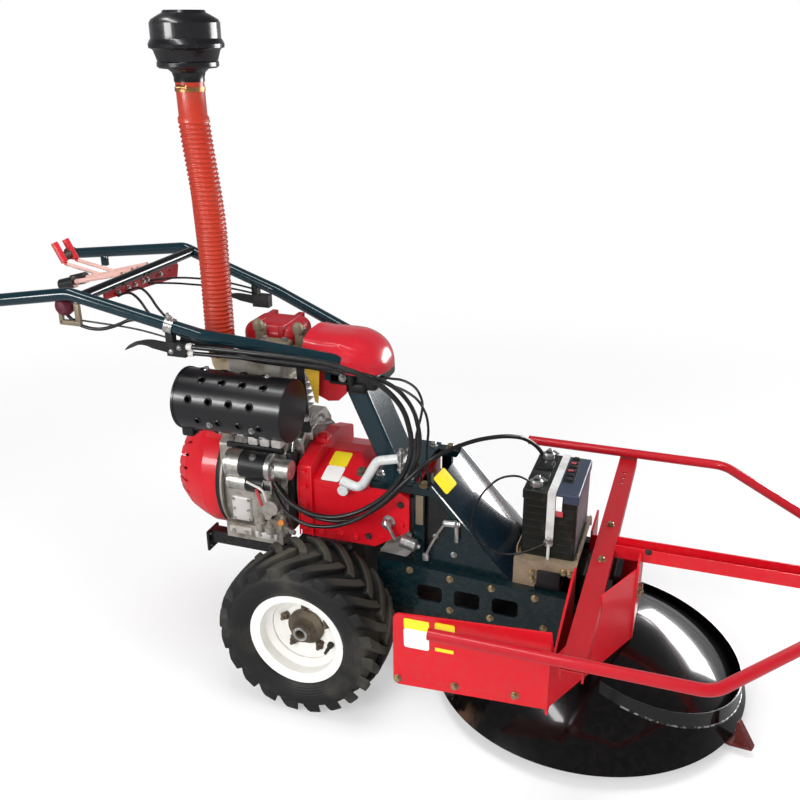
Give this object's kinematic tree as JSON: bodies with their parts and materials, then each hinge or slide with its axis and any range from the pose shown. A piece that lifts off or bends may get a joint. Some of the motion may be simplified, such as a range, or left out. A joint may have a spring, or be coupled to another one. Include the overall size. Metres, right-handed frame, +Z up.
{
  "type": "self-propelled disc mower",
  "caption": "Walk-behind two-wheel tractor with a single-cylinder diesel engine, long handlebars and, in front, a domed disc cutter under a tubular guard.",
  "frame": {"origin": "on the ground, half way along and across the machine's outside box", "axes": "+X forwards to the cutter, along the machine; +Y to the machine's left; +Z up"},
  "size_m": [2.355, 1.005, 1.56],
  "materials": {
    "red_paint": "gloss",
    "teal_paint": "satin",
    "black_paint": "gloss",
    "tyre_rubber": "matte",
    "rim_paint": "gloss",
    "hub_cast": "matte",
    "housing_cast": "matte",
    "engine_cast": "satin",
    "fan_red": "gloss",
    "starter_silver": "satin",
    "muffler_black": "matte",
    "elbow_plastic": "matte",
    "hose_rubber": "matte",
    "cleaner_plastic": "satin",
    "lever_plastic": "satin",
    "zinc_plate": "satin",
    "battery_plastic": "satin",
    "bare_steel": "satin",
    "dome_black": "gloss",
    "tooth_red": "satin",
    "cable_rubber": "satin"
  },
  "bodies": {
    "chassis": {"axle_housing": "housing_cast", "gearbox": "red_paint", "clutch_housing": "engine_cast", "engine_block": "engine_cast", "cylinder_head": "engine_cast", "fan_shroud": "fan_red", "starter_motor": "starter_silver", "muffler": "muffler_black", "fuel_tank": "red_paint", "intake_elbow": "elbow_plastic", "intake_hose": "hose_rubber", "pre_cleaner": "cleaner_plastic", "engine_rails": "teal_paint", "handlebar_column": "teal_paint", "column_hood": "red_paint", "handlebar_left": "teal_paint", "handlebar_right": "teal_paint", "handlebar_crossbar": "teal_paint", "control_gate": "red_paint", "gear_levers": "bare_steel", "clutch_levers": "lever_plastic", "side_plate_left": "teal_paint", "side_plate_right": "teal_paint", "drive_cover": "teal_paint", "disc_gearbox": "black_paint", "battery": "battery_plastic", "battery_tray": "zinc_plate", "battery_strap": "bare_steel", "wing_left": "red_paint", "wing_right": "red_paint", "crossbeam": "red_paint", "guard_bar_left": "red_paint", "guard_bar_right": "red_paint", "guard_channel": "red_paint", "disc_hood": "dome_black", "skid_pan": "bare_steel", "cables": "cable_rubber"},
    "wheel_left": {"tyre_left": "tyre_rubber", "rim_left": "rim_paint", "hub_left": "hub_cast"},
    "wheel_right": {"tyre_right": "tyre_rubber", "rim_right": "rim_paint", "hub_right": "hub_cast"},
    "disc": {"cutting_disc": "black_paint", "disc_teeth": "tooth_red"}
  },
  "joints": [
    {"name": "wheel_left_spin", "type": "hinge", "parent": "chassis", "child": "wheel_left", "pos_m": [-0.1575, 0.28, 0.203], "axis": [0, 1, 0], "continuous": true},
    {"name": "wheel_right_spin", "type": "hinge", "parent": "chassis", "child": "wheel_right", "pos_m": [-0.1575, -0.28, 0.203], "axis": [0, 1, 0], "continuous": true},
    {"name": "disc_spin", "type": "hinge", "parent": "chassis", "child": "disc", "pos_m": [0.4735, 0, 0.017], "axis": [0, 0, 1], "continuous": true}
  ]
}
